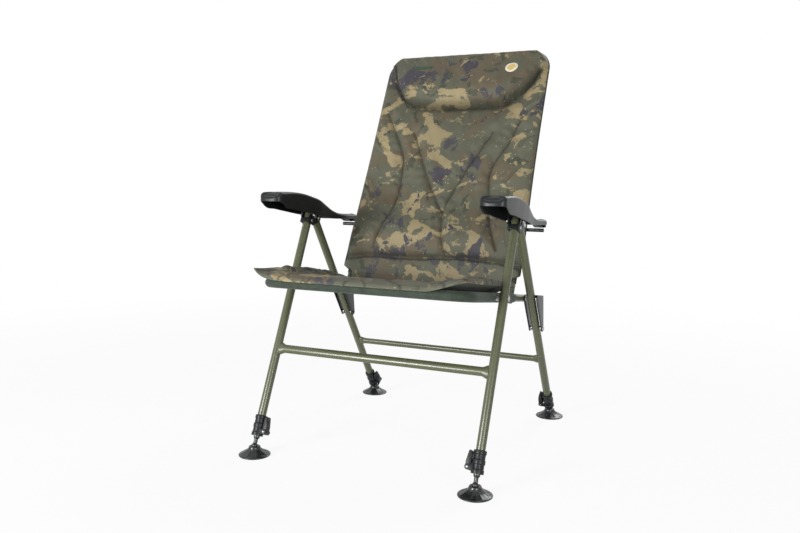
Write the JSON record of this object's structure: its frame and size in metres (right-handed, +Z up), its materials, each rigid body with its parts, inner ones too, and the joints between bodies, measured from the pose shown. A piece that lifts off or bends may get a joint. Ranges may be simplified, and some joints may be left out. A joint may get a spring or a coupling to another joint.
{
  "type": "folding fishing chair",
  "caption": "Folding armchair with a tilting padded back, crossed tube legs, swinging armrests and swivelling mud feet on sliding leg extensions.",
  "frame": {"origin": "on the ground under the middle of the chair, at the centre of its footprint", "axes": "+Z up, -Y towards the sitter's feet, +X to the sitter's left"},
  "size_m": [0.6672, 0.7736, 1.0896],
  "materials": {
    "green_paint": "semi-gloss olive green",
    "black_plastic": "satin black",
    "zinc": "zinc plated",
    "camo_fabric": "woven, camouflage print",
    "dark_fabric": "plain dark green weave"
  },
  "bodies": {
    "front_frame": {"front_crossbar": "green_paint", "front_leg_left": "green_paint", "front_leg_right": "green_paint", "top_bracket_left": "black_plastic", "top_bracket_right": "black_plastic", "bracket_rivet_left": "zinc", "bracket_rivet_right": "zinc", "arm_pivot_bolt_left": "zinc", "arm_pivot_bolt_right": "zinc", "rear_pivot_bolt_left": "zinc", "rear_pivot_bolt_right": "zinc", "lock_sleeve_front_left": "black_plastic", "lock_sleeve_front_right": "black_plastic", "lever_pin_front_left": "zinc", "lever_pin_front_right": "zinc"},
    "rear_frame": {"rear_crossbar": "green_paint", "rear_leg_left": "green_paint", "rear_leg_right": "green_paint", "link_lower_pin_left": "zinc", "link_lower_pin_right": "zinc", "lock_sleeve_rear_left": "black_plastic", "lock_sleeve_rear_right": "black_plastic", "lever_pin_rear_left": "zinc", "lever_pin_rear_right": "zinc"},
    "link_left": {"rear_link_left": "black_plastic", "link_upper_pin_left": "zinc"},
    "link_right": {"rear_link_right": "black_plastic", "link_upper_pin_right": "zinc"},
    "seat": {"seat_frame": "green_paint", "seat_sling": "dark_fabric", "seat_cushion": "camo_fabric", "seat_pivot_bolt_left": "zinc", "seat_pivot_bolt_right": "zinc"},
    "back_hinge": {"back_hinge_bolt_left": "zinc", "back_hinge_bolt_right": "zinc"},
    "backrest": {"back_frame": "green_paint", "back_cushion": "camo_fabric", "back_rear_panel": "dark_fabric", "recline_pin_left": "zinc", "recline_pin_right": "zinc"},
    "arm_bush_left": {"arm_bush_left": "zinc"},
    "armrest_left": {"armrest_left": "black_plastic"},
    "leg_extension_front_left": {"extension_leg_front_left": "green_paint"},
    "ball_front_left": {"foot_ball_front_left": "black_plastic"},
    "foot_front_left": {"mud_foot_front_left": "black_plastic"},
    "lever_front_left": {"lock_lever_front_left": "black_plastic"},
    "leg_extension_rear_left": {"extension_leg_rear_left": "green_paint"},
    "ball_rear_left": {"foot_ball_rear_left": "black_plastic"},
    "foot_rear_left": {"mud_foot_rear_left": "black_plastic"},
    "lever_rear_left": {"lock_lever_rear_left": "black_plastic"},
    "arm_bush_right": {"arm_bush_right": "zinc"},
    "armrest_right": {"armrest_right": "black_plastic"},
    "leg_extension_front_right": {"extension_leg_front_right": "green_paint"},
    "ball_front_right": {"foot_ball_front_right": "black_plastic"},
    "foot_front_right": {"mud_foot_front_right": "black_plastic"},
    "lever_front_right": {"lock_lever_front_right": "black_plastic"},
    "leg_extension_rear_right": {"extension_leg_rear_right": "green_paint"},
    "ball_rear_right": {"foot_ball_rear_right": "black_plastic"},
    "foot_rear_right": {"mud_foot_rear_right": "black_plastic"},
    "lever_rear_right": {"lock_lever_rear_right": "black_plastic"}
  },
  "joints": [
    {"name": "fold", "type": "hinge", "parent": "front_frame", "child": "rear_frame", "pos_m": [0, -0.0508, 0.591], "axis": [1, 0, 0], "range_deg": [-56, 0]},
    {"name": "seat_fold", "type": "hinge", "parent": "front_frame", "child": "seat", "pos_m": [0, -0.16159, 0.42], "axis": [1, 0, 0], "range_deg": [-74.69, 0]},
    {"name": "recline", "type": "hinge", "parent": "seat", "child": "back_hinge", "pos_m": [0, 0.05936, 0.3918], "axis": [1, 0, 0], "range_deg": [-8, 7.5]},
    {"name": "back_fold", "type": "hinge", "parent": "back_hinge", "child": "backrest", "pos_m": [0, 0.05936, 0.3918], "axis": [1, 0, 0], "range_deg": [0, 74.62]},
    {"name": "link_fold_left", "type": "hinge", "parent": "rear_frame", "child": "link_left", "pos_m": [0.294, 0.14977, 0.3], "axis": [1, 0, 0], "range_deg": [-128.29, 0]},
    {"name": "arm_lift_left", "type": "hinge", "parent": "front_frame", "child": "arm_bush_left", "pos_m": [0.294, -0.0805, 0.6], "axis": [-1, 0, 0], "range_deg": [-25, 0]},
    {"name": "arm_fold_left", "type": "hinge", "parent": "arm_bush_left", "child": "armrest_left", "pos_m": [0.294, -0.0805, 0.6], "axis": [1, 0, 0], "range_deg": [-73.39, 0]},
    {"name": "leg_slide_front_left", "type": "slide", "parent": "front_frame", "child": "leg_extension_front_left", "axis": [0, -0.4108, -0.9117], "range_m": [-0.015, 0.1]},
    {"name": "foot_pitch_front_left", "type": "hinge", "parent": "leg_extension_front_left", "child": "ball_front_left", "pos_m": [0.294, -0.34, 0.024], "axis": [1, 0, 0], "range_deg": [-15, 15]},
    {"name": "foot_roll_front_left", "type": "hinge", "parent": "ball_front_left", "child": "foot_front_left", "pos_m": [0.294, -0.34, 0.024], "axis": [0, 1, 0], "range_deg": [-15, 15]},
    {"name": "lever_front_left", "type": "hinge", "parent": "front_frame", "child": "lever_front_left", "pos_m": [0.272, -0.3248, 0.05774], "axis": [0, -0.9117, 0.4108], "range_deg": [0, 95]},
    {"name": "leg_slide_rear_left", "type": "slide", "parent": "rear_frame", "child": "leg_extension_rear_left", "axis": [0, 0.5675, -0.8234], "range_m": [0, 0.1]},
    {"name": "foot_pitch_rear_left", "type": "hinge", "parent": "leg_extension_rear_left", "child": "ball_rear_left", "pos_m": [0.294, 0.34, 0.024], "axis": [1, 0, 0], "range_deg": [-15, 15]},
    {"name": "foot_roll_rear_left", "type": "hinge", "parent": "ball_rear_left", "child": "foot_rear_left", "pos_m": [0.294, 0.34, 0.024], "axis": [0, 1, 0], "range_deg": [-15, 15]},
    {"name": "lever_rear_left", "type": "hinge", "parent": "rear_frame", "child": "lever_rear_left", "pos_m": [0.272, 0.32525, 0.04541], "axis": [0, -0.8234, -0.5675], "range_deg": [0, 95]},
    {"name": "link_fold_right", "type": "hinge", "parent": "rear_frame", "child": "link_right", "pos_m": [-0.294, 0.14977, 0.3], "axis": [1, 0, 0], "range_deg": [-128.29, 0]},
    {"name": "arm_lift_right", "type": "hinge", "parent": "front_frame", "child": "arm_bush_right", "pos_m": [-0.294, -0.0805, 0.6], "axis": [-1, 0, 0], "range_deg": [-25, 0]},
    {"name": "arm_fold_right", "type": "hinge", "parent": "arm_bush_right", "child": "armrest_right", "pos_m": [-0.294, -0.0805, 0.6], "axis": [1, 0, 0], "range_deg": [-73.39, 0]},
    {"name": "leg_slide_front_right", "type": "slide", "parent": "front_frame", "child": "leg_extension_front_right", "axis": [0, -0.4108, -0.9117], "range_m": [-0.015, 0.1]},
    {"name": "foot_pitch_front_right", "type": "hinge", "parent": "leg_extension_front_right", "child": "ball_front_right", "pos_m": [-0.294, -0.34, 0.024], "axis": [1, 0, 0], "range_deg": [-15, 15]},
    {"name": "foot_roll_front_right", "type": "hinge", "parent": "ball_front_right", "child": "foot_front_right", "pos_m": [-0.294, -0.34, 0.024], "axis": [0, 1, 0], "range_deg": [-15, 15]},
    {"name": "lever_front_right", "type": "hinge", "parent": "front_frame", "child": "lever_front_right", "pos_m": [-0.272, -0.3248, 0.05774], "axis": [0, 0.9117, -0.4108], "range_deg": [0, 95]},
    {"name": "leg_slide_rear_right", "type": "slide", "parent": "rear_frame", "child": "leg_extension_rear_right", "axis": [0, 0.5675, -0.8234], "range_m": [0, 0.1]},
    {"name": "foot_pitch_rear_right", "type": "hinge", "parent": "leg_extension_rear_right", "child": "ball_rear_right", "pos_m": [-0.294, 0.34, 0.024], "axis": [1, 0, 0], "range_deg": [-15, 15]},
    {"name": "foot_roll_rear_right", "type": "hinge", "parent": "ball_rear_right", "child": "foot_rear_right", "pos_m": [-0.294, 0.34, 0.024], "axis": [0, 1, 0], "range_deg": [-15, 15]},
    {"name": "lever_rear_right", "type": "hinge", "parent": "rear_frame", "child": "lever_rear_right", "pos_m": [-0.272, 0.32525, 0.04541], "axis": [0, 0.8234, 0.5675], "range_deg": [0, 95]}
  ],
  "couplings": [
    {"joint": "seat_fold", "follows": "fold", "ratio": 1.332},
    {"joint": "back_fold", "follows": "fold", "ratio": -1.3308},
    {"joint": "link_fold_left", "follows": "fold", "ratio": 2.2891},
    {"joint": "arm_fold_left", "follows": "fold", "ratio": 1.3087},
    {"joint": "link_fold_right", "follows": "fold", "ratio": 2.2891},
    {"joint": "arm_fold_right", "follows": "fold", "ratio": 1.3087}
  ]
}
